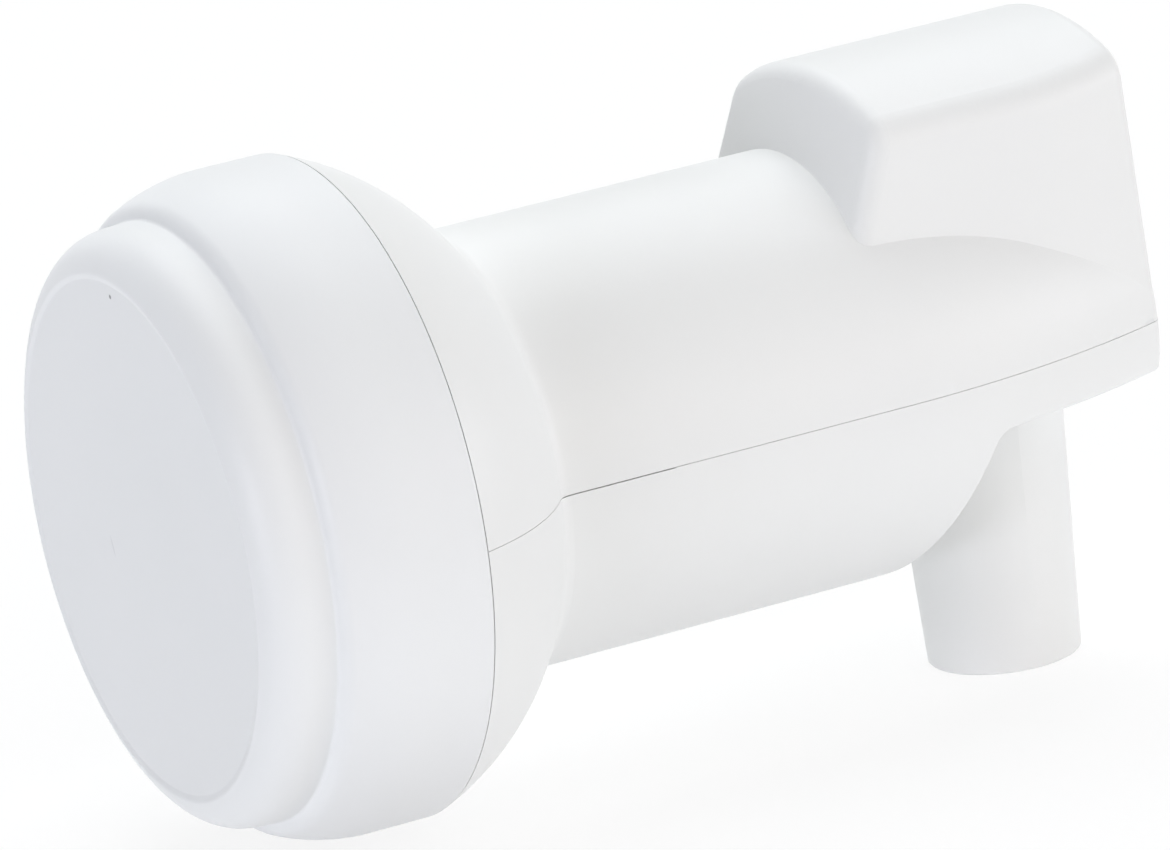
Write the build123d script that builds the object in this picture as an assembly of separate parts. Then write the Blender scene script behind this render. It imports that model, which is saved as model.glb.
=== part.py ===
from build123d import *
import math
import os

# Satellite LNB, in millimetres and degrees
# The origin is on the feed axis at the middle of the clamp seat
# The feed looks towards -Y, the hump is on +Z and the connector points to -Z

# Neck, bell and rear body of the housing
neck_dia = 40.0             # clamp seat of the standard feed holder
wall = 1.9                  # moulded wall of both shells
bell_length = 12.0
joint_step = 0.1            # cap band proud of the bell, per side
bell_curve = 24.0           # radius of the bell's convex flank
bell_root_fillet = 1.6
body_length = 75.75         # cap joint to rear face
hump_length = 29.15         # clamp seat to rear face
barrel_curve = 71.0         # long radius of the body behind the neck

# Seam between the shells
seam_gap = 0.05
lip_depth = 1.4
lip_thickness = 0.85
lip_clearance = 0.1
relief_length = 11.2        # wider stretch of the seam beside the bell
relief_gap = 0.08

# Hump over the circuit chamber
hump_top = 27.2             # height of the arch above the feed axis
hump_arch = 28.0            # radius of the arch
hump_half_width = 15.6      # at the height of the feed axis
hump_draft = 3.7
hump_side_curve = 45.0      # radius of the sides behind the shroud's axis
hump_lean = 22.0
hump_bow = 60.0             # radius of the bowed front face
shoulder_radius = 3.3
hump_edge_radius = 2.0
rear_edge_radius = 1.4

# Rear plate and connector shroud of the lower shell
plate_depth = 4.85
cut_lean = 25.0             # slanted end of the lower body
cut_back = 6.8              # shroud axis to the slanted end, at the plate
cut_corner_radius = 2.0
cut_edge_radius = 0.7
shroud_setback = 12.75      # rear face to shroud axis
shroud_drop = 31.2          # feed axis to the shroud's mouth
shroud_mouth_dia = 14.1
shroud_taper = 2.4
shroud_bore_dia = 12.6
shroud_bore_taper = 1.2
shroud_edge_radius = 0.35

# Feed cap
cap_length = 19.7
cap_rim_length = 6.1        # front face to the step
cap_step = 3.25             # rim inside the band, per side
cap_rim_draft = 3.0
cap_band_dia = 60.2
cap_crown = 20.0            # radius of the band's crowned front
cap_crown_start = 5.0       # joint to the start of the crown
cap_front_radius = 4.0
cap_step_radius = 0.6
cap_edge_radius = 0.25
cap_wall = 1.6
cap_band_wall = 1.9
cap_gap = 0.04
snap_height = 0.4
snap_width = 1.2
snap_setback = 3.4
spigot_clearance = 0.2
spigot_wall = 1.9
seal_cord = 2.2

# Horn and waveguide of the casting
guide_bore_dia = 17.5
guide_wall = 2.05
horn_gap = 1.0              # radome to horn mouth
horn_clearance = 1.0        # cap rim to the outer choke ring
horn_mouth_dia = 29.2
horn_flare_length = 18.0
choke_grooves = 2
choke_wall = 1.2
flange_thickness = 2.0
flange_clearance = 0.35
horn_back_dia = 32.0
cast_wall = 1.4
short_wall = 2.0
fit_clearance = 0.12

# Circuit tray
tray_clearance = 0.5
tray_floor = 1.5
tongue_half = 6.4
lid_thickness = 1.4
rib_thickness = 1.2
board_thickness = 0.8
board_clearance = 0.25
floor_rise = 1.0            # tray floor above the waveguide
screw_post_dia = 4.2
post_overlap = 0.4          # screw post run into the tray's wall
screw_dia = 2.0
screw_head_dia = 3.6
screw_head_height = 1.2
screw_slot = 0.5
screw_hole_end = 0.5        # free depth under a screw's tip
lid_screw_length = 6.0
board_screw_length = 3.4
board_screw_offset = 1.4    # shroud axis to the board screws
board_post_depth = 4.4
shell_rib = 1.6

# Probes
probe_dia = 0.9
probe_reach = 5.4
probe_stand = 0.6           # soldered end above the board
bush_dia = 2.8
post_dia = 1.6
post_cover = 0.3            # casting left over the post's upper end
rear_probe_x = -3.4
probe_pitch = 3.2
short_to_probe = 4.4

# Electronic packages: length, width and height
transistor_size = (1.8, 1.8, 0.7)
converter_margin = 0.75     # chip to the bay's walls
converter_height = 0.9
crystal_size = (2.4, 3.2, 0.8)
crystal_corner = 0.3
regulator_size = (4.4, 2.4, 1.5)
regulator_tab = (1.8, 1.0, 0.5)
regulator_leg = (0.5, 0.9, 0.4)
regulator_leg_pitch = 1.5
chip_size = (0.8, 1.6, 0.6)

# Connector
thread_dia = 9.525
thread_length = 12.0
nose_chamfer = 0.6
nose_recess = 6.3           # shroud mouth to connector nose
shoulder_height = 1.2
boss_dia = 10.4
collar_dia = 14.6
collar_height = 1.6
seal_height = 1.8
barrel_spigot_dia = 7.0
barrel_spigot_length = 6.0
insulator_dia = 6.0
insulator_recess = 0.4
sleeve_dia = 3.8
contact_dia = 2.2
contact_hole_dia = 1.0
contact_hole_depth = 7.0
feed_pin_dia = 1.0

# Places along the feed axis
neck_r = neck_dia / 2
clamp_length = body_length - bell_length - hump_length
bell_end_y = -clamp_length / 2
hump_foot_y = clamp_length / 2
joint_y = bell_end_y - bell_length
rear_y = joint_y + body_length
cap_front_y = joint_y - cap_length
step_y = cap_front_y + cap_rim_length
arch_z = hump_top - hump_arch
draft_tan = math.tan(math.radians(hump_draft))
lean_tan = math.tan(math.radians(hump_lean))
cut_tan = math.tan(math.radians(cut_lean))
shroud_y = rear_y - shroud_setback
cut_plate_y = shroud_y - cut_back

# Cap, seal and horn
band_r = cap_band_dia / 2
rim_r = band_r - cap_step
bell_front_r = band_r - joint_step
band_bore_r = band_r - cap_band_wall
rim_bore_r = rim_r - cap_wall
step_inner_y = step_y + cap_wall + cap_step_radius
seal_y = step_inner_y + seal_cord / 2
flange_y = step_inner_y + seal_cord
flange_back_y = flange_y + flange_thickness
spigot_r = band_bore_r - spigot_clearance
snap_y = joint_y - snap_setback
horn_y = cap_front_y + cap_wall + horn_gap
horn_r = rim_bore_r - horn_clearance
bore_r = guide_bore_dia / 2
guide_r = bore_r + guide_wall
guide_end_y = (cut_plate_y - (guide_r - plate_depth) * cut_tan
               - wall / math.cos(math.radians(cut_lean)) - tray_clearance)
short_y = guide_end_y - short_wall

# Circuit tray
side_drop = hump_side_curve - math.sqrt(hump_side_curve ** 2 - (rear_y - shroud_y) ** 2)
tray_half = hump_half_width - side_drop - hump_top * draft_tan - wall - tray_clearance
post_r = screw_post_dia / 2
screw_x = tray_half - cast_wall - post_r + post_overlap
head_x = screw_x + screw_head_dia / 2
lid_corner_z = arch_z + math.sqrt((hump_arch - wall) ** 2 - tray_half ** 2)
head_corner_z = arch_z + math.sqrt((hump_arch - wall) ** 2 - head_x ** 2)
lid_top = min(lid_corner_z, head_corner_z - screw_head_height) - tray_clearance
tray_rim = lid_top - lid_thickness
tray_y = (hump_foot_y + (lid_top - neck_r) * lean_tan + tray_half ** 2 / (2 * hump_bow)
          + wall / math.cos(math.radians(hump_lean)) + tray_clearance)
tray_back_y = rear_y - wall - tray_clearance
tray_bottom = -plate_depth + wall + 2 * tray_clearance
floor_z = guide_r + floor_rise
board_z = floor_z + board_thickness
tongue_rim = math.sqrt((neck_r - wall - tray_clearance) ** 2 - tongue_half ** 2) - lid_thickness
rear_probe_y = short_y - short_to_probe
post_y = rear_probe_y - probe_pitch
front_probe_y = post_y - probe_pitch
tongue_y = front_probe_y - bush_dia - cast_wall
screw_front_y = tray_y + cast_wall + post_r - post_overlap
screw_back_y = tray_back_y - cast_wall - post_r + post_overlap
board_screw_x = tray_half - cast_wall - screw_head_dia / 2 - board_clearance
board_screw_y = shroud_y - board_screw_offset
rib_y = (screw_front_y + post_r + board_screw_y - screw_head_dia / 2) / 2
lid_screw_places = [(sx * screw_x, y) for sx in (-1, 1) for y in (screw_front_y, screw_back_y)]
board_screw_places = [(sx * board_screw_x, board_screw_y) for sx in (-1, 1)]
probe_places = [(0, front_probe_y), (rear_probe_x, rear_probe_y)]
transistor_places = [(0, front_probe_y + 2.6), (-0.2, rear_probe_y + 1.6), (1.6, tray_y + cast_wall)]
bay_front_y = tray_y + cast_wall
bay_back_y = rib_y - rib_thickness / 2
converter_side = bay_back_y - bay_front_y - 2 * converter_margin
converter_place = (-1.2, (bay_front_y + bay_back_y) / 2)
crystal_place = (3.2, screw_back_y - 1.0)
regulator_place = (-2.0, screw_back_y - 0.6)
chip_places = [
    (-3.6, front_probe_y + 1.4), (3.6, front_probe_y + 1.4), (3.2, rear_probe_y), (-3.6, tray_y - 1.6),
    (3.0, shroud_y + 1.8), (-3.2, shroud_y - 1.0), (3.2, shroud_y - 1.0), (-3.2, shroud_y + 1.0),
]

# Connector
nose_z = -shroud_drop + nose_recess
shoulder_z = nose_z + thread_length
boss_z = shoulder_z + shoulder_height
plate_floor_z = -plate_depth + wall
collar_z = plate_floor_z + seal_height


# Common shapes
def block(x0, x1, y0, y1, z0, z1):
    centre = Pos((x0 + x1) / 2, (y0 + y1) / 2, (z0 + z1) / 2)
    return centre * Box(x1 - x0, y1 - y0, z1 - z0)


def upright(x, y, dia, z0, z1):
    return Pos(x, y, (z0 + z1) / 2) * Cylinder(dia / 2, z1 - z0)


def along_axis(radius, y0, y1):
    return Pos(0, (y0 + y1) / 2, 0) * Rot(90, 0, 0) * Cylinder(radius, y1 - y0)


def ring(outer_r, inner_r, y0, y1):
    return along_axis(outer_r, y0, y1) - along_axis(inner_r, y0 - 1, y1 + 1)


def turned(*curves):
    return revolve(make_face(Curve() + list(curves)), axis=Axis.Y)


def arc_about(centre, radius, start, end):
    a0 = math.atan2(start[1] - centre[1], start[0] - centre[0])
    a1 = math.atan2(end[1] - centre[1], end[0] - centre[0])
    middle = (a0 + a1) / 2
    over = (centre[0] + radius * math.cos(middle), centre[1] + radius * math.sin(middle))
    return ThreePointArc(start, over, end)


def above(z):
    return block(-4 * neck_r, 4 * neck_r, -2 * body_length, 2 * body_length, z, z + 8 * neck_r)


def below(z):
    return block(-4 * neck_r, 4 * neck_r, -2 * body_length, 2 * body_length, z - 8 * neck_r, z)


def barrel_radius(y, inset):
    return neck_r - barrel_curve + math.sqrt((barrel_curve - inset) ** 2 - (y - hump_foot_y) ** 2)


# Bell, neck and narrowing rear body, turned about the feed axis
def turned_body(inset):
    dr = neck_r - bell_front_r
    chord = math.hypot(dr, bell_length)
    rise = math.sqrt(bell_curve ** 2 - (chord / 2) ** 2)
    bell_c = ((bell_front_r + neck_r) / 2 - bell_length / chord * rise,
              joint_y + bell_length / 2 + dr / chord * rise)
    bell_r = bell_curve - inset
    front = (bell_c[0] + math.sqrt(bell_r ** 2 - (joint_y - bell_c[1]) ** 2), joint_y)
    root = (neck_r - inset, bell_c[1] + math.sqrt(bell_r ** 2 - (neck_r - inset - bell_c[0]) ** 2))
    barrel_c = (neck_r - barrel_curve, hump_foot_y)
    waist = (neck_r - inset, hump_foot_y)
    end_y = rear_y - inset
    end = (barrel_radius(end_y, inset), end_y)
    outline = [
        Line((0, joint_y), front),
        arc_about(bell_c, bell_r, front, root),
        Line(root, waist),
        arc_about(barrel_c, barrel_curve - inset, waist, end),
        Line(end, (0, end_y)),
        Line((0, end_y), (0, joint_y)),
    ]
    face = make_face(Curve() + outline)
    corner = face.vertices().sort_by_distance((root[0], root[1], 0))[0]
    face = fillet(corner, bell_root_fillet)
    if inset == 0:
        corner = face.vertices().sort_by_distance((end[0], end[1], 0))[0]
        face = fillet(corner, rear_edge_radius)
    return revolve(face, axis=Axis.Y)


# All that lies inside one drafted side of the hump, straight at the front and curved in at the rear
def hump_side(side, inset):
    centre = (side * (hump_half_width - hump_side_curve), shroud_y)
    x = side * (hump_half_width - inset)
    end_x = centre[0] + side * math.sqrt((hump_side_curve - inset) ** 2 - (rear_y - shroud_y) ** 2)
    far_x = -side * 4 * neck_r
    outline = [
        Line((far_x, 0), (x, 0)),
        Line((x, 0), (x, shroud_y)),
        arc_about(centre, hump_side_curve - inset, (x, shroud_y), (end_x, rear_y)),
        Line((end_x, rear_y), (far_x, rear_y)),
        Line((far_x, rear_y), (far_x, 0)),
    ]
    face = make_face(Curve() + outline)
    return extrude(face, 4 * hump_top, dir=(-side * draft_tan, 0, 1))


# Arched hump with leaning bowed front, drafted sides and upright rear
def hump_body(inset):
    arch = Pos(0, 0, arch_z) * along_axis(hump_arch - inset, -body_length, 2 * body_length)
    lean = math.radians(hump_lean)
    bow_c = (0, hump_foot_y + hump_bow * math.cos(lean), neck_r - hump_bow * math.sin(lean))
    bow_plane = Plane(origin=bow_c, x_dir=(1, 0, 0), z_dir=(0, math.sin(lean), math.cos(lean)))
    form = arch & (bow_plane * Cylinder(hump_bow - inset, 8 * hump_top))
    for side in (-1, 1):
        form = form & hump_side(side, inset)
    return form & block(-2 * neck_r, 2 * neck_r, 0, rear_y - inset, 0, 2 * hump_top)


def softened_hump():
    form = hump_body(0)
    arch = form.faces().sort_by(Axis.Z)[-1]
    long_edges = arch.edges().filter_by(lambda e: e.bounding_box().size.Y > (rear_y - hump_foot_y) / 4)
    form = fillet(long_edges, shoulder_radius)
    front = form.faces().sort_by(Axis.Y)[0]
    form = fillet(front.edges().filter_by(lambda e: e.center().Z > wall), hump_edge_radius)
    rear = form.faces().sort_by(Axis.Y)[-1]
    return fillet(rear.edges().filter_by(lambda e: e.center().Z > wall), rear_edge_radius)


# Space behind the slanted end and under the rear plate
def cut_space(inset):
    lean = math.radians(cut_lean)
    top = -plate_depth + inset
    start = cut_plate_y - inset / math.cos(lean) + inset * cut_tan
    drop = 3 * neck_r
    outline = Polyline((start, top), (start - drop * cut_tan, top - drop),
                       (2 * body_length, top - drop), (2 * body_length, top), close=True)
    face = make_face(Plane.YZ * outline)
    corner = face.vertices().sort_by_distance((0, start, top))[0]
    if inset == 0:
        face = fillet(corner, cut_corner_radius)
    return extrude(face, 4 * neck_r, both=True)


def on_cut_edge(edge):
    middle = edge.position_at(0.5)
    off_barrel = abs(math.hypot(middle.X, middle.Z) - barrel_radius(middle.Y, 0))
    return off_barrel < fit_clearance and middle.Y > hump_foot_y and middle.Z < fit_clearance - plate_depth


def lower_body():
    form = (turned_body(0) & below(0)) - cut_space(0)
    return fillet(form.edges().filter_by(on_cut_edge), cut_edge_radius)


# Connector shroud, with its open mouth downwards
def shroud_cone(mouth_dia, taper, z0, z1):
    top_r = mouth_dia / 2 + (z1 + shroud_drop) * math.tan(math.radians(taper))
    low_r = mouth_dia / 2 + (z0 + shroud_drop) * math.tan(math.radians(taper))
    return Pos(0, shroud_y, (z0 + z1) / 2) * Cone(low_r, top_r, z1 - z0)


# Half rings inside both shells: cap spigot with its snap groove, and the ribs that hold the waveguide
def shell_rings():
    spigot = ring(spigot_r, spigot_r - spigot_wall, flange_back_y + fit_clearance, joint_y + 1.6 * wall)
    groove = ring(spigot_r + 1, spigot_r - snap_height - fit_clearance,
                  snap_y - snap_width / 2 - fit_clearance, snap_y + snap_width / 2 + fit_clearance)
    rings = spigot - groove
    for y in (bell_end_y + 3 * shell_rib, tongue_y - 2 * shell_rib):
        rings += ring(neck_r - wall / 2, guide_r + fit_clearance, y, y + shell_rib)
    return rings


def seam_lip(thickness, z0, z1):
    outside = turned_body(wall - thickness) + hump_body(wall - thickness)
    inside = turned_body(wall) + hump_body(wall)
    band = block(-2 * neck_r, 2 * neck_r, bell_end_y, 2 * body_length, z0, z1)
    return (outside & band) - inside


def upper_shell():
    outer = turned_body(0) + softened_hump()
    cavity = turned_body(wall) + hump_body(wall)
    form = (outer - cavity) & above(0)
    form = form - along_axis(spigot_r - spigot_wall, joint_y - 1, joint_y + 1)
    form = form + (shell_rings() & above(0))
    form = form & above(seam_gap / 2)
    return form + seam_lip(lip_thickness, -lip_depth, wall)


def lower_shell():
    outer = lower_body() + shroud_cone(shroud_mouth_dia, shroud_taper, -shroud_drop, plate_floor_z)
    form = outer - (turned_body(wall) - cut_space(wall))
    form = form + (shell_rings() & below(0))
    lip = seam_lip(lip_thickness + lip_clearance, -lip_depth - lip_clearance, wall)
    form = (form & below(-seam_gap / 2)) - lip
    form = form - shroud_cone(shroud_bore_dia, shroud_bore_taper, -shroud_drop - 1, -plate_depth)
    form = form - upright(0, shroud_y, boss_dia + 4 * fit_clearance, -plate_depth - 1, 0)
    for side in (-1, 1):
        x = side * (neck_r + wall / 4)
        relief = block(x - wall, x + wall, bell_end_y, bell_end_y + relief_length, -relief_gap, wall)
        form = form - relief
    mouth = form.edges().group_by(Axis.Z)[0].sort_by(SortBy.LENGTH)[-1]
    return fillet(mouth, shroud_edge_radius)


# Radome cup: flat front, drafted rim, step and crowned band
def feed_cap():
    rim_back_r = rim_r + (cap_rim_length - cap_front_radius) * math.tan(math.radians(cap_rim_draft))
    back_y = joint_y - cap_gap
    crown_y = joint_y - cap_crown_start
    crown_c = (band_r - cap_crown, crown_y)
    shoulder = (crown_c[0] + math.sqrt(cap_crown ** 2 - (step_y - crown_y) ** 2), step_y)
    outline = [
        Line((0, cap_front_y), (rim_r, cap_front_y)),
        Line((rim_r, cap_front_y), (rim_back_r, step_y)),
        Line((rim_back_r, step_y), shoulder),
        arc_about(crown_c, cap_crown, shoulder, (band_r, crown_y)),
        Line((band_r, crown_y), (band_r, back_y)),
        Line((band_r, back_y), (0, back_y)),
        Line((0, back_y), (0, cap_front_y)),
    ]
    face = make_face(Curve() + outline)
    for place, radius in (
        ((rim_r, cap_front_y), cap_front_radius),
        ((rim_back_r, step_y), cap_step_radius),
        (shoulder, cap_step_radius),
        ((band_r, back_y), cap_edge_radius),
    ):
        corner = face.vertices().sort_by_distance((place[0], place[1], 0))[0]
        face = fillet(corner, radius)
    outer = revolve(face, axis=Axis.Y)
    front_inner_y = cap_front_y + cap_wall
    hollow = Rectangle(rim_bore_r, step_inner_y - front_inner_y, align=(Align.MIN, Align.MIN))
    hollow = Pos(0, front_inner_y) * hollow
    corner = hollow.vertices().sort_by_distance((rim_bore_r, front_inner_y, 0))[0]
    hollow = fillet(corner, cap_front_radius - cap_wall)
    cup = outer - revolve(hollow, axis=Axis.Y) - along_axis(band_bore_r, step_inner_y, joint_y + 1)
    bead = turned(Polyline((band_bore_r + cap_wall / 2, snap_y - snap_width / 2),
                           (band_bore_r - spigot_clearance - snap_height, snap_y),
                           (band_bore_r + cap_wall / 2, snap_y + snap_width / 2), close=True))
    return cup + bead


def cap_seal():
    section = Pos(horn_r + horn_seat() + seal_cord / 2, seal_y) * Circle(seal_cord / 2)
    return revolve(section, axis=Axis.Y)


# Rim of the horn that carries the seal
def horn_seat():
    return rim_bore_r + fit_clearance - horn_r


# Horn, waveguide, circuit tray and connector boss in one casting
def horn_turning():
    mouth_r = horn_mouth_dia / 2
    back_r = horn_back_dia / 2
    flare_end_y = horn_y + horn_flare_length
    body = along_axis(horn_r, horn_y, flange_back_y)
    body += along_axis(horn_r + horn_seat(), step_inner_y, flange_back_y)
    body += along_axis(band_bore_r - flange_clearance, flange_y, flange_back_y)
    body += turned(Polyline((0, flange_back_y), (back_r, flange_back_y), (guide_r, flare_end_y),
                            (0, flare_end_y), close=True))
    body += along_axis(guide_r, flange_back_y, guide_end_y)
    pitch = (horn_r - choke_wall - mouth_r) / choke_grooves
    for n in range(choke_grooves):
        inner_r = mouth_r + choke_wall + n * pitch
        body -= ring(inner_r + pitch - choke_wall, inner_r, horn_y - 1, flange_y)
    body -= turned(Polyline((0, horn_y), (mouth_r, horn_y), (bore_r, flare_end_y),
                            (0, flare_end_y), close=True))
    return body


def tray_walls():
    tray = block(-tray_half, tray_half, tray_y, tray_back_y, tray_bottom, tray_rim)
    tray += block(-tongue_half, tongue_half, tongue_y, tray_y + cast_wall, 0, tongue_rim)
    tray -= block(-tray_half + cast_wall, tray_half - cast_wall, tray_y + cast_wall, tray_back_y - cast_wall,
                  floor_z, tray_rim + 1)
    tray -= block(-tongue_half + cast_wall, tongue_half - cast_wall, tongue_y + cast_wall,
                  tray_y + 2 * cast_wall, floor_z, tongue_rim + 1)
    door = tongue_half - cast_wall
    tray -= block(-door, door, tray_y - 1, tray_y + 2 * cast_wall, tongue_rim, tray_rim + 1)
    tray -= block(-tray_half + cast_wall, tray_half - cast_wall, tray_y + 2 * cast_wall,
                  tray_back_y - cast_wall, tray_bottom - 1, floor_z - tray_floor)
    inside = block(-tray_half, tray_half, tray_y, tray_back_y, tray_bottom, tray_rim)
    for x, y in lid_screw_places:
        tray += upright(x, y, screw_post_dia, floor_z - tray_floor, tray_rim) & inside
    for x, y in board_screw_places:
        tray += upright(x, y, screw_post_dia, floor_z - board_post_depth, floor_z)
    return tray


def horn_casting():
    body = horn_turning() + tray_walls()
    body += upright(0, shroud_y, boss_dia, boss_z, floor_z - tray_floor / 2)
    body += upright(0, shroud_y, collar_dia, collar_z, collar_z + collar_height)
    body -= along_axis(bore_r, horn_y + horn_flare_length - 1, short_y)
    body -= upright(0, shroud_y, barrel_spigot_dia + fit_clearance, boss_z - 1,
                    boss_z + barrel_spigot_length + fit_clearance)
    body -= upright(0, shroud_y, sleeve_dia + fit_clearance, boss_z, floor_z + 1)
    for x, y in probe_places:
        body -= upright(x, y, bush_dia, 0, floor_z + 1)
    body -= upright(0, post_y, post_dia, -guide_r + guide_wall / 2, floor_z - post_cover)
    for x, y in lid_screw_places:
        body -= upright(x, y, screw_dia, lid_top - lid_screw_length - screw_hole_end, tray_rim + 1)
    for x, y in board_screw_places:
        body -= upright(x, y, screw_dia, board_z - board_screw_length - screw_hole_end, floor_z + 1)
    return body


# Stepped lid with its drop wall and a screening rib
def chamber_lid():
    door = tongue_half - cast_wall - fit_clearance
    lid = block(-tray_half, tray_half, tray_y, tray_back_y, tray_rim, lid_top)
    lid += block(-tongue_half, tongue_half, tongue_y, tray_y - fit_clearance, tongue_rim,
                 tongue_rim + lid_thickness)
    lid += block(-door, door, tray_y - 2 * fit_clearance, tray_y + cast_wall, tongue_rim, tray_rim)
    rib_half = tray_half - cast_wall - fit_clearance
    lid += block(-rib_half, rib_half, rib_y - rib_thickness / 2, rib_y + rib_thickness / 2,
                 board_z + fit_clearance, tray_rim)
    for x, y in lid_screw_places:
        lid -= upright(x, y, screw_dia, tray_rim - 1, lid_top + 1)
    return lid


def pan_screw(x, y, seat_z, length):
    shank = upright(x, y, screw_dia, seat_z - length, seat_z)
    head = upright(x, y, screw_head_dia, seat_z, seat_z + screw_head_height)
    slot = block(x - screw_head_dia, x + screw_head_dia, y - screw_slot / 2, y + screw_slot / 2,
                 seat_z + screw_head_height / 2, seat_z + screw_head_height + 1)
    return shank + head - slot


def lid_screws():
    return Compound([pan_screw(x, y, lid_top, lid_screw_length).solid() for x, y in lid_screw_places])


def board_screws():
    return Compound([pan_screw(x, y, board_z, board_screw_length).solid() for x, y in board_screw_places])


# T-shaped board, notched round the screw posts
def circuit_board():
    half = tray_half - cast_wall - board_clearance
    tongue = tongue_half - cast_wall - board_clearance
    board = block(-half, half, tray_y + cast_wall + board_clearance,
                  tray_back_y - cast_wall - board_clearance, floor_z, board_z)
    board += block(-tongue, tongue, tongue_y + cast_wall + board_clearance, tray_y + 2 * cast_wall,
                   floor_z, board_z)
    for x, y in lid_screw_places:
        board -= upright(x, y, screw_post_dia + 2 * board_clearance, floor_z - 1, board_z + 1)
    for x, y in board_screw_places:
        board -= upright(x, y, screw_dia, floor_z - 1, board_z + 1)
    for x, y in probe_places:
        board -= upright(x, y, probe_dia, floor_z - 1, board_z + 1)
    return board - upright(0, shroud_y, feed_pin_dia, floor_z - 1, board_z + 1)


def vertical_probe():
    return upright(0, front_probe_y, probe_dia, bore_r - probe_reach, board_z + probe_stand)


def horizontal_probe():
    top = (rear_probe_x, rear_probe_y, board_z + probe_stand)
    bend = (rear_probe_x, rear_probe_y, 0)
    tip = (rear_probe_x + probe_reach, rear_probe_y, 0)
    path = FilletPolyline(top, bend, tip, radius=probe_dia)
    section = Plane(origin=top, z_dir=(0, 0, -1)) * Circle(probe_dia / 2)
    return sweep(section, path=path)


def probe_bushes():
    bushes = []
    for x, y in probe_places:
        bush = upright(x, y, bush_dia, 0, floor_z) - along_axis(bore_r, -body_length, body_length)
        bushes.append((bush - upright(x, y, probe_dia, -1, floor_z + 1)).solid())
    return Compound(bushes)


def isolation_post():
    return upright(0, post_y, post_dia, -guide_r + guide_wall / 2, floor_z - post_cover)


# Electronic parts, standing on the board
def package(place, size):
    x, y = place
    length, width, height = size
    return block(x - length / 2, x + length / 2, y - width / 2, y + width / 2, board_z, board_z + height)


def low_noise_transistors():
    return Compound([package(place, transistor_size).solid() for place in transistor_places])


def converter_chip():
    return package(converter_place, (converter_side, converter_side, converter_height))


def reference_crystal():
    can = package(crystal_place, crystal_size)
    return fillet(can.edges().filter_by(Axis.Z), crystal_corner)


def voltage_regulator():
    x, y = regulator_place
    body = package(regulator_place, regulator_size)
    body += package((x, y + (regulator_size[1] + regulator_tab[1] / 2) / 2), regulator_tab)
    leg_y = y - (regulator_size[1] + regulator_leg[1] / 2) / 2
    for step in (-1, 0, 1):
        body += package((x + step * regulator_leg_pitch, leg_y), regulator_leg)
    return body


def chip_parts():
    return Compound([package(place, chip_size).solid() for place in chip_places])


# Connector in the shroud
def connector_barrel():
    body = upright(0, shroud_y, thread_dia, nose_z, shoulder_z)
    nose = body.edges().group_by(Axis.Z)[0]
    body = chamfer(nose, nose_chamfer)
    body += upright(0, shroud_y, boss_dia, shoulder_z, boss_z)
    body += upright(0, shroud_y, barrel_spigot_dia, boss_z, boss_z + barrel_spigot_length)
    return body - upright(0, shroud_y, insulator_dia, nose_z - 1, boss_z + barrel_spigot_length + 1)


def connector_insulator():
    top_z = boss_z + barrel_spigot_length
    body = upright(0, shroud_y, insulator_dia, nose_z + insulator_recess, top_z)
    body += upright(0, shroud_y, sleeve_dia, top_z, floor_z)
    body -= upright(0, shroud_y, contact_dia, nose_z + 3 * insulator_recess, top_z)
    return body - upright(0, shroud_y, feed_pin_dia, nose_z - 1, floor_z + 1)


def connector_contact():
    top_z = boss_z + barrel_spigot_length
    low_z = nose_z + 3 * insulator_recess
    body = upright(0, shroud_y, contact_dia, low_z, top_z)
    body += upright(0, shroud_y, feed_pin_dia, top_z, board_z + probe_stand)
    return body - upright(0, shroud_y, contact_hole_dia, low_z - 1, low_z + contact_hole_depth)


def connector_seal():
    body = upright(0, shroud_y, collar_dia, plate_floor_z, collar_z)
    return body - upright(0, shroud_y, boss_dia, plate_floor_z - 1, collar_z + 1)


os.makedirs("parts", exist_ok=True)
for piece in (
    feed_cap, upper_shell, lower_shell, cap_seal, horn_casting, chamber_lid, lid_screws, circuit_board,
    board_screws, vertical_probe, horizontal_probe, probe_bushes, isolation_post, low_noise_transistors,
    converter_chip, reference_crystal, voltage_regulator, chip_parts, connector_barrel, connector_insulator,
    connector_contact, connector_seal,
):
    export_step(piece(), "parts/" + piece.__name__ + ".step")
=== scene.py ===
import bpy
import bmesh
import math
from mathutils import Matrix, Vector


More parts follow.
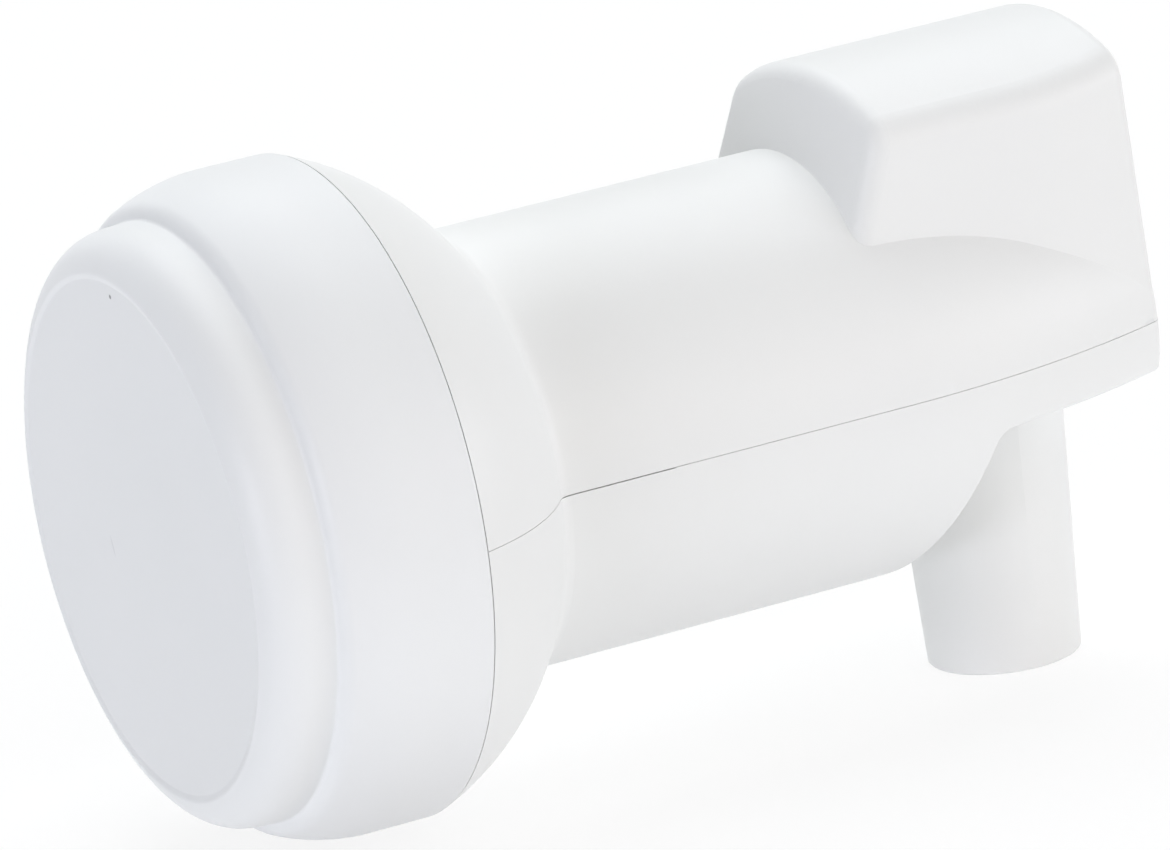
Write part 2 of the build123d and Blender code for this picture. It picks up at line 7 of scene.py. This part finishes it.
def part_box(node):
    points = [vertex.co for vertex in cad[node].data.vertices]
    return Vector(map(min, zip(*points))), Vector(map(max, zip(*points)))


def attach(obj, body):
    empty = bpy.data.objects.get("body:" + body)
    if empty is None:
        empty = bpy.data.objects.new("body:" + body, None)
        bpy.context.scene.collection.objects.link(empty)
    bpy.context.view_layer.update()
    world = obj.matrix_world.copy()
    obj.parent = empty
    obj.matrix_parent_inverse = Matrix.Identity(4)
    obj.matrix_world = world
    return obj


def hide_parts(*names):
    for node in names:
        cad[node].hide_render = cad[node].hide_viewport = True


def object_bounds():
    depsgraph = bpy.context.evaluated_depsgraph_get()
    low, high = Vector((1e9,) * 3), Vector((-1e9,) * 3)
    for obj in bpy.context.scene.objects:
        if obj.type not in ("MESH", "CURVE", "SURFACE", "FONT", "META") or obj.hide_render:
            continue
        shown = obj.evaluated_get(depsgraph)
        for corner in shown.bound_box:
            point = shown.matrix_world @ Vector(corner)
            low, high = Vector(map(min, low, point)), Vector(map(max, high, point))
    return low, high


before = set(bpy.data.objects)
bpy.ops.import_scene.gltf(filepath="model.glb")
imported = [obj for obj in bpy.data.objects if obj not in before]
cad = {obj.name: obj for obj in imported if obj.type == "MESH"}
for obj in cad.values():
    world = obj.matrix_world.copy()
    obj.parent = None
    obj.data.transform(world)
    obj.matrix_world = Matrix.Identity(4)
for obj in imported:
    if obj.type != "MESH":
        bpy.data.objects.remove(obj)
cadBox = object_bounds()
scene = bpy.context.scene
mm = 0.001
sharpAngle = math.radians(35)
print("loaded", len(cad), "CAD nodes")


def linearFromHex(code):
    channels = [int(code[i:i + 2], 16) / 255 for i in (1, 3, 5)]
    return [c / 12.92 if c <= 0.04045 else ((c + 0.055) / 1.055) ** 2.4 for c in channels] + [1.0]


def addNode(tree, kind, values=None, links=None, **settings):
    node = tree.nodes.new(kind)
    for name, value in settings.items():
        setattr(node, name, value)
    for name, value in (values or {}).items():
        node.inputs[name].default_value = value
    for name, socket in (links or {}).items():
        tree.links.new(socket, node.inputs[name])
    return node


def addNoise(tree, place, sizeMm, values):
    noise = addNode(tree, "ShaderNodeTexNoise", {"Scale": 1 / (sizeMm * mm), **values}, {"Vector": place})
    return noise.outputs["Fac"]


# One for rays by which the camera sees a thing, directly, mirrored or through glass, else nought
def addSeen(tree):
    rays = addNode(tree, "ShaderNodeLightPath").outputs
    mirrored = addNode(tree, "ShaderNodeMath", None,
                       {0: rays["Is Glossy Ray"], 1: rays["Is Transmission Ray"]}, operation="MAXIMUM")
    seen = addNode(tree, "ShaderNodeMath", None,
                   {0: mirrored.outputs["Value"], 1: rays["Is Camera Ray"]}, operation="MAXIMUM")
    return seen.outputs["Value"]


# A mark fades out between these shares of its half size
spotFade = {"clear": 1.3, "full": 0.6}


# A small mark in the plastic, an ellipsoid round a point of the part
def addSpot(tree, place, shade, spot):
    local = addNode(tree, "ShaderNodeVectorMath", {1: [c * mm for c in spot["atMm"]]}, {0: place},
                    operation="SUBTRACT")
    turned = addNode(tree, "ShaderNodeVectorRotate", {"Axis": (0, 1, 0), "Angle": math.radians(spot["turn"])},
                     {"Vector": local.outputs["Vector"]}, rotation_type="AXIS_ANGLE")
    scaled = addNode(tree, "ShaderNodeVectorMath", {1: [1 / (c * mm) for c in spot["halfMm"]]},
                     {0: turned.outputs["Vector"]}, operation="MULTIPLY")
    far = addNode(tree, "ShaderNodeVectorMath", None, {0: scaled.outputs["Vector"]}, operation="LENGTH")
    fade = {"From Min": spotFade["clear"], "From Max": spotFade["full"], "To Max": spot["amount"]}
    amount = addNode(tree, "ShaderNodeMapRange", fade, {"Value": far.outputs["Value"]},
                     interpolation_type="SMOOTHSTEP")
    marked = addNode(tree, "ShaderNodeMix", {"B": linearFromHex(spot["shade"])},
                     {"A": shade, "Factor": amount.outputs["Result"]}, data_type="RGBA")
    return marked.outputs["Result"]


# Every finish has two close shades in soft patches, a roughness that wanders a little and a fine grain
def makeFinish(name, look):
    material = bpy.data.materials.new(name)
    material.use_nodes = True
    tree = material.node_tree
    tree.nodes.clear()
    place = addNode(tree, "ShaderNodeTexCoord").outputs["Object"]
    shades = {"A": linearFromHex(look["shades"][0]), "B": linearFromHex(look["shades"][1])}
    patch = addNoise(tree, place, look["patchMm"], {"Detail": 3.0})
    shade = addNode(tree, "ShaderNodeMix", shades, {"Factor": patch}, data_type="RGBA").outputs["Result"]
    for spot in look.get("spots", []):
        shade = addSpot(tree, place, shade, spot)
    wander = addNoise(tree, place, look["wanderMm"], {"Detail": 2.0})
    rough = addNode(tree, "ShaderNodeMapRange",
                    {"To Min": look["roughness"][0], "To Max": look["roughness"][1]}, {"Value": wander})
    grain = addNoise(tree, place, look["grainMm"], {"Detail": 2.0, "Roughness": 0.6})
    relief = {"Strength": look["grainStrength"], "Distance": look["grainDepthMm"] * mm}
    bump = addNode(tree, "ShaderNodeBump", relief, {"Height": grain})
    fixed = {"Metallic": look.get("metallic", 0.0)}
    if "ior" in look:
        fixed["IOR"] = look["ior"]
    varied = {"Base Color": shade, "Roughness": rough.outputs["Result"], "Normal": bump.outputs["Normal"]}
    shader = addNode(tree, "ShaderNodeBsdfPrincipled", fixed, varied)
    addNode(tree, "ShaderNodeOutputMaterial", None, {"Surface": shader.outputs["BSDF"]})
    return material


# ASA, injection moulded in a spark-eroded tool: an even satin white, its grain only softens the gleam
shellAsa = {
    "shades": ("#EDEEED", "#E9EAEA"), "patchMm": 22, "roughness": (0.40, 0.48), "wanderMm": 6,
    "grainMm": 0.35, "grainStrength": 0.35, "grainDepthMm": 0.012, "ior": 1.52,
}
# Polypropylene, moulded thin for the feed cap: the same white, a little waxier, with two small marks in front
darkSpeck = {
    "atMm": (1.12, -48.72, 22.12), "halfMm": (0.22, 1.0, 0.2), "turn": 0,
    "amount": 0.75, "shade": "#4A4A4C",
}
faintTick = {
    "atMm": (-6.76, -48.72, -2.11), "halfMm": (0.14, 1.0, 0.95), "turn": 16,
    "amount": 0.16, "shade": "#8C9096",
}
capPolypropylene = {
    "shades": ("#EBECED", "#E7E9EA"), "patchMm": 26, "roughness": (0.42, 0.50), "wanderMm": 7,
    "grainMm": 0.35, "grainStrength": 0.35, "grainDepthMm": 0.012, "ior": 1.49,
    "spots": (darkSpeck, faintTick),
}
# Aluminium, high-pressure die cast: dull silver with a sandy skin
castAluminium = {
    "shades": ("#B4B6B8", "#A3A6A9"), "patchMm": 8, "roughness": (0.42, 0.58), "wanderMm": 3,
    "grainMm": 0.5, "grainStrength": 0.5, "grainDepthMm": 0.03, "metallic": 1.0,
}
# Steel, zinc plated and passivated: bluish silver
zincSteel = {
    "shades": ("#C2C5CA", "#B4B9C0"), "patchMm": 2, "roughness": (0.26, 0.36), "wanderMm": 1,
    "grainMm": 0.2, "grainStrength": 0.2, "grainDepthMm": 0.006, "metallic": 1.0,
}
# Brass, turned and flashed with gold: warm yellow, smooth
gildedBrass = {
    "shades": ("#DDB65E", "#D0A54B"), "patchMm": 2, "roughness": (0.20, 0.28), "wanderMm": 1,
    "grainMm": 0.15, "grainStrength": 0.15, "grainDepthMm": 0.004, "metallic": 1.0,
}
# Brass, turned and nickel plated: warm grey metal with a soft mirror
nickelBrass = {
    "shades": ("#C9C5BC", "#BCB8AF"), "patchMm": 3, "roughness": (0.18, 0.28), "wanderMm": 2,
    "grainMm": 0.2, "grainStrength": 0.15, "grainDepthMm": 0.004, "metallic": 1.0,
}
# PTFE, turned from rod: waxy milk white
turnedPtfe = {
    "shades": ("#EDECE6", "#E4E3DD"), "patchMm": 4, "roughness": (0.34, 0.42), "wanderMm": 2,
    "grainMm": 0.25, "grainStrength": 0.25, "grainDepthMm": 0.01, "ior": 1.38,
}
# EPDM rubber, moulded: near black, dull
mouldedRubber = {
    "shades": ("#232324", "#1C1C1D"), "patchMm": 5, "roughness": (0.62, 0.74), "wanderMm": 2,
    "grainMm": 0.3, "grainStrength": 0.4, "grainDepthMm": 0.02, "ior": 1.52,
}
# Glass-filled laminate under green solder mask: glossy, with the weave just showing through
maskedLaminate = {
    "shades": ("#1F5B3A", "#184C31"), "patchMm": 1.4, "roughness": (0.26, 0.36), "wanderMm": 1,
    "grainMm": 0.5, "grainStrength": 0.3, "grainDepthMm": 0.02, "ior": 1.55,
}
# Epoxy resin with silica, transfer moulded: charcoal packages
packageEpoxy = {
    "shades": ("#2A2A2C", "#232325"), "patchMm": 1, "roughness": (0.50, 0.60), "wanderMm": 0.6,
    "grainMm": 0.12, "grainStrength": 0.4, "grainDepthMm": 0.008, "ior": 1.55,
}
# Barium titanate, fired: tan chip capacitors
firedCeramic = {
    "shades": ("#A98A62", "#9C7D57"), "patchMm": 0.8, "roughness": (0.36, 0.46), "wanderMm": 0.5,
    "grainMm": 0.1, "grainStrength": 0.3, "grainDepthMm": 0.006, "ior": 1.6,
}
goldNodes = ("vertical_probe", "horizontal_probe", "isolation_post", "connector_contact")
resinNodes = ("low_noise_transistors", "converter_chip", "voltage_regulator")
finishes = {
    "whiteAsaMoulded": (shellAsa, ("upper_shell", "lower_shell")),
    "whitePolypropyleneMoulded": (capPolypropylene, ("feed_cap",)),
    "aluminiumDieCast": (castAluminium, ("horn_casting", "chamber_lid")),
    "steelZincPlated": (zincSteel, ("lid_screws", "board_screws", "reference_crystal")),
    "brassGoldFlashed": (gildedBrass, goldNodes),
    "brassNickelPlated": (nickelBrass, ("connector_barrel",)),
    "ptfeTurned": (turnedPtfe, ("probe_bushes", "connector_insulator")),
    "epdmRubberMoulded": (mouldedRubber, ("cap_seal", "connector_seal")),
    "laminateSolderMasked": (maskedLaminate, ("circuit_board",)),
    "epoxyResinMoulded": (packageEpoxy, resinNodes),
    "ceramicFired": (firedCeramic, ("chip_parts",)),
}
for finishName, (look, nodeNames) in finishes.items():
    finish = makeFinish(finishName, look)
    for nodeName in nodeNames:
        slots = cad[nodeName].data.materials
        slots.clear()
        slots.append(finish)
print("finishes", len(finishes))


# Mesh of a shape, smooth but for its sharp edges
def smoothMesh(name, shape):
    bmesh.ops.recalc_face_normals(shape, faces=shape.faces)
    mesh = bpy.data.meshes.new(name)
    shape.to_mesh(mesh)
    shape.free()
    mesh.shade_smooth()
    mesh.set_sharp_from_angle(angle=sharpAngle)
    return mesh


def addPiece(name, mesh, finishName):
    piece = bpy.data.objects.new(name, mesh)
    scene.collection.objects.link(piece)
    mesh.materials.append(bpy.data.materials[finishName])
    return piece


# Connector thread, 3/8 inch with 32 turns to the inch, cut into the barrel that stands in the shroud
threadPlan = {
    "axis": (0.0, 33.7), "nose": -24.9, "shoulder": -12.9, "seat": -11.7, "top": -5.7,
    "bore": 3.0, "crest": 4.7625, "boss": 5.2, "spigot": 3.5, "chamfer": 0.6,
    "pitch": 0.79375, "depth": 0.43, "flankSlope": 1.25, "crestFlat": 0.125, "runOut": 1.2,
    "around": 96, "rowsPerTurn": 12,
}


# Depth of the thread at one height and turn, nought on the crest, one in the root
def threadWave(z, turn):
    share = (z / threadPlan["pitch"] - turn) % 1.0
    wave = threadPlan["flankSlope"] * (1 - abs(2 * share - 1)) - threadPlan["crestFlat"]
    return min(1.0, max(0.0, wave))


# Rings from the nose to the top: radius, height and how much of the thread's depth is cut
def threadRings():
    plan = threadPlan
    rings = [(plan["bore"], plan["nose"], 0), (plan["crest"] - plan["chamfer"], plan["nose"], 0)]
    step = plan["pitch"] / plan["rowsPerTurn"]
    rows = int((plan["shoulder"] - plan["nose"]) / step)
    for i in range(1, rows):
        z = plan["nose"] + i * step
        outer = plan["crest"] - max(0.0, plan["chamfer"] - (z - plan["nose"]))
        fade = min(1.0, (plan["shoulder"] - z) / plan["runOut"])
        rings.append((outer, z, fade))
    return rings + [
        (plan["crest"], plan["shoulder"], 0), (plan["boss"], plan["shoulder"], 0),
        (plan["boss"], plan["seat"], 0), (plan["spigot"], plan["seat"], 0),
        (plan["spigot"], plan["top"], 0), (plan["bore"], plan["top"], 0),
    ]


def threadedBarrel():
    plan = threadPlan
    shape = bmesh.new()
    loops = []
    for outer, z, fade in threadRings():
        loop = []
        for i in range(plan["around"]):
            turn = i / plan["around"]
            root = plan["crest"] - plan["depth"] * threadWave(z, turn) * fade
            radius = min(outer, root) if fade else outer
            angle = 2 * math.pi * turn
            x = plan["axis"][0] + radius * math.cos(angle)
            y = plan["axis"][1] + radius * math.sin(angle)
            loop.append(shape.verts.new((x * mm, y * mm, z * mm)))
        loops.append(loop)
    for low, high in zip(loops, loops[1:] + loops[:1]):
        for i in range(plan["around"]):
            j = (i + 1) % plan["around"]
            shape.faces.new((low[i], low[j], high[j], high[i]))
    return smoothMesh("threadedBarrel", shape)


barrel = addPiece("threadedBarrel", threadedBarrel(), "brassNickelPlated")
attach(barrel, "root")
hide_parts("connector_barrel")
print("thread", len(barrel.data.polygons), "faces")

# Feed cap: a thin disc sunk a little in a rounded lip, a plain rim, a soft step and a crowned band,
# open at the back. A sink is counted from the cap's front
capPlan = {
    "around": 144, "arcStep": 3.0, "longRun": 1.2, "support": 0.1,
    "discRadius": 23.2, "discSink": 0.28, "discCorner": 0.5,
    "lipRadius": 23.75, "lipSink": 0.07, "lipCrest": 0.45,
    "rimRadius": 26.85, "rimSink": 1.47, "rimRounding": 4.0,
    "grooveRadius": 27.1, "grooveSink": 6.1, "grooveCorner": 0.3,
    "shoulderRadius": 28.31, "shoulderSink": 6.42, "shoulderRounding": 1.75,
    "crownSink": 10.35, "crownRounding": 16.0, "edgeRounding": 0.25,
    "bandWall": 1.9, "snapSetback": 3.36, "snapHeight": 0.6, "snapHalf": 0.26,
    "seatSink": 8.3, "rimBore": 25.25, "discWall": 1.6, "boreCorner": 2.4,
}


# Outline through corners (radius, place, rounding), with each rounding an arc in small steps
def roundedOutline(corners, arcStep):
    places = [Vector(corner[:2]) for corner in corners]
    outline = [places[0]]
    for before, here, after, corner in zip(places, places[1:], places[2:], corners[1:]):
        rounding = corner[2]
        back = (before - here).normalized()
        forth = (after - here).normalized()
        half = back.angle(forth) / 2
        sweep = math.pi - 2 * half
        centre = here + (back + forth).normalized() * rounding / math.sin(half)
        reach = rounding / math.tan(half)
        first = here + back * reach - centre
        last = here + forth * reach - centre
        steps = math.ceil(math.degrees(sweep) / arcStep) if rounding else 0
        for i in range(steps + 1):
            share = i / steps if steps else 0
            along = first * math.sin((1 - share) * sweep) + last * math.sin(share * sweep)
            outline.append(centre + along / math.sin(sweep))
    return outline + [places[-1]]


# A point near both ends of each long straight run keeps its shading flat
def heldFlat(outline, longRun, support):
    held = [outline[0]]
    for here, after in zip(outline, outline[1:]):
        run = after - here
        if run.length > longRun:
            held += [here + run.normalized() * support, after - run.normalized() * support]
        held.append(after)
    return held


# From the disc's middle over the outside to the back edge, and inside to the disc's middle again
def capCorners(front, back, band):
    plan = capPlan
    bore = band - plan["bandWall"]
    snap = back - plan["snapSetback"]
    return [
        (0.0, front + plan["discSink"], 0),
        (plan["discRadius"], front + plan["discSink"], plan["discCorner"]),
        (plan["lipRadius"], front + plan["lipSink"], plan["lipCrest"]),
        (plan["rimRadius"], front + plan["rimSink"], plan["rimRounding"]),
        (plan["grooveRadius"], front + plan["grooveSink"], plan["grooveCorner"]),
        (plan["shoulderRadius"], front + plan["shoulderSink"], plan["shoulderRounding"]),
        (band, front + plan["crownSink"], plan["crownRounding"]),
        (band, back, plan["edgeRounding"]),
        (bore, back, 0),
        (bore, snap + plan["snapHalf"], 0),
        (bore - plan["snapHeight"], snap, 0),
        (bore, snap - plan["snapHalf"], 0),
        (bore, front + plan["seatSink"], 0),
        (plan["rimBore"], front + plan["seatSink"], 0),
        (plan["rimBore"], front + plan["discWall"], plan["boreCorner"]),
        (0.0, front + plan["discWall"], 0),
    ]


# Outline turned about the feed axis
def turnedMesh(name, outline, around):
    shape = bmesh.new()
    loops = []
    for radius, place in outline:
        loop = []
        for i in range(around if radius > 0 else 1):
            angle = 2 * math.pi * i / around
            x = radius * math.cos(angle)
            z = radius * math.sin(angle)
            loop.append(shape.verts.new((x * mm, place * mm, z * mm)))
        loops.append(loop)
    for low, high in zip(loops, loops[1:]):
        for i in range(around):
            j = (i + 1) % around
            corners = [low[i % len(low)], low[j % len(low)], high[j % len(high)], high[i % len(high)]]
            shape.faces.new(list(dict.fromkeys(corners)))
    return smoothMesh(name, shape)


capLow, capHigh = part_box("feed_cap")
capOutline = capCorners(capLow.y / mm, capHigh.y / mm, capHigh.x / mm)
capOutline = roundedOutline(capOutline, capPlan["arcStep"])
capOutline = heldFlat(capOutline, capPlan["longRun"], capPlan["support"])
capMesh = turnedMesh("feedCapMoulded", capOutline, capPlan["around"])
cap = addPiece("feedCapMoulded", capMesh, "whitePolypropyleneMoulded")
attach(cap, "root")
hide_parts("feed_cap")
print("cap", len(cap.data.polygons), "faces")

# White light table, opal acrylic, under the shroud's mouth and the cap. The eye sees it paler, so the
# shadow on it is faint, and looks through it from below
tablePlan = {
    "halfSize": 40.0, "shade": "#F6F6F7", "glow": 0.19, "seenShade": "#808080", "seenGlow": 0.81,
}
white = linearFromHex("#FFFFFF")
half = tablePlan["halfSize"]
tableZ = cadBox[0].z
tableCorners = [(-half, -half, tableZ), (half, -half, tableZ), (half, half, tableZ), (-half, half, tableZ)]
tableMesh = bpy.data.meshes.new("studioTable")
tableMesh.from_pydata(tableCorners, [], [(0, 1, 2, 3)])
table = bpy.data.objects.new("studioTable", tableMesh)
scene.collection.objects.link(table)
tableTop = bpy.data.materials.new("tableAcrylicOpal")
tableTop.use_nodes = True
tree = tableTop.node_tree
tree.nodes.clear()
seen = addSeen(tree)
tableShades = {"A": linearFromHex(tablePlan["shade"]), "B": linearFromHex(tablePlan["seenShade"])}
tableGlows = {"To Min": tablePlan["glow"], "To Max": tablePlan["seenGlow"]}
shade = addNode(tree, "ShaderNodeMix", tableShades, {"Factor": seen}, data_type="RGBA")
level = addNode(tree, "ShaderNodeMapRange", tableGlows, {"Value": seen})
matt = addNode(tree, "ShaderNodeBsdfDiffuse", None, {"Color": shade.outputs["Result"]})
glow = addNode(tree, "ShaderNodeEmission", {"Color": white}, {"Strength": level.outputs["Result"]})
both = addNode(tree, "ShaderNodeAddShader", None, {0: matt.outputs["BSDF"], 1: glow.outputs["Emission"]})
underside = addNode(tree, "ShaderNodeNewGeometry").outputs["Backfacing"]
direct = addNode(tree, "ShaderNodeLightPath").outputs["Is Camera Ray"]
fromBelow = addNode(tree, "ShaderNodeMath", None, {0: underside, 1: direct}, operation="MULTIPLY")
clear = addNode(tree, "ShaderNodeBsdfTransparent")
surface = addNode(tree, "ShaderNodeMixShader", None,
                  {0: fromBelow.outputs["Value"], 1: both.outputs["Shader"], 2: clear.outputs["BSDF"]})
addNode(tree, "ShaderNodeOutputMaterial", None, {"Surface": surface.outputs["Shader"]})
tableMesh.materials.append(tableTop)
print("table set")

# White room, seen but giving no light, and six broad lamps; none stands high in front
lampPlans = {
    "lampBack": {"azimuth": 240, "elevation": 65, "wide": 60, "strength": 1.84, "shade": "#F8FCFF"},
    "lampLeft": {"azimuth": 270, "elevation": 38, "wide": 60, "strength": 0.60, "shade": "#FDFFFE"},
    "lampRight": {"azimuth": 90, "elevation": 38, "wide": 60, "strength": 0.90, "shade": "#FFFCFA"},
    "lampRightLow": {"azimuth": 125, "elevation": 6, "wide": 30, "strength": 0.44, "shade": "#FFEFE0"},
    "lampRearLow": {"azimuth": 150, "elevation": 6, "wide": 30, "strength": 0.90, "shade": "#F5F8FF"},
    "lampFrontLow": {"azimuth": 20, "elevation": 0, "wide": 30, "strength": 2.00, "shade": "#F4F5FF"},
}
world = bpy.data.worlds.new("studioRoom")
world.use_nodes = True
tree = world.node_tree
tree.nodes.clear()
room = addNode(tree, "ShaderNodeBackground", {"Color": white}, {"Strength": addSeen(tree)})
addNode(tree, "ShaderNodeOutputWorld", None, {"Surface": room.outputs["Background"]})
scene.world = world


# Direction to a place seen from the part; azimuth turns from the front to the right
def towards(azimuth, elevation):
    a = math.radians(azimuth)
    e = math.radians(elevation)
    return Vector((math.sin(a) * math.cos(e), -math.cos(a) * math.cos(e), math.sin(e)))


for lampName, plan in lampPlans.items():
    sun = bpy.data.lights.new(lampName, "SUN")
    sun.angle = math.radians(plan["wide"])
    sun.energy = plan["strength"]
    sun.color = linearFromHex(plan["shade"])[:3]
    lamp = bpy.data.objects.new(lampName, sun)
    shining = -towards(plan["azimuth"], plan["elevation"])
    lamp.rotation_euler = shining.to_track_quat("-Z", "Y").to_euler()
    scene.collection.objects.link(lamp)
print("lamps", len(lampPlans))

# Long lens from the front right, with the horizon tipped
cameraPlan = {
    "at": (0.78087, -0.36186, 0.23403), "azimuth": 65.442, "elevation": 15.26, "roll": -7.685,
    "lens": 307.69, "sensorWidth": 36, "clipStart": 0.05, "clipEnd": 200,
}
back = towards(cameraPlan["azimuth"], cameraPlan["elevation"])
levelRight = towards(cameraPlan["azimuth"] + 90, 0)
roll = math.radians(cameraPlan["roll"])
right = math.cos(roll) * levelRight + math.sin(roll) * back.cross(levelRight)
up = back.cross(right)
turn = Matrix((right, up, back)).transposed().to_4x4()
lens = bpy.data.cameras.new("photoCamera")
lens.lens = cameraPlan["lens"]
lens.sensor_width = cameraPlan["sensorWidth"]
lens.clip_start = cameraPlan["clipStart"]
lens.clip_end = cameraPlan["clipEnd"]
camera = bpy.data.objects.new("photoCamera", lens)
camera.matrix_world = Matrix.Translation(cameraPlan["at"]) @ turn
scene.collection.objects.link(camera)
scene.camera = camera
scene.view_settings.view_transform = "Standard"
print("camera set")
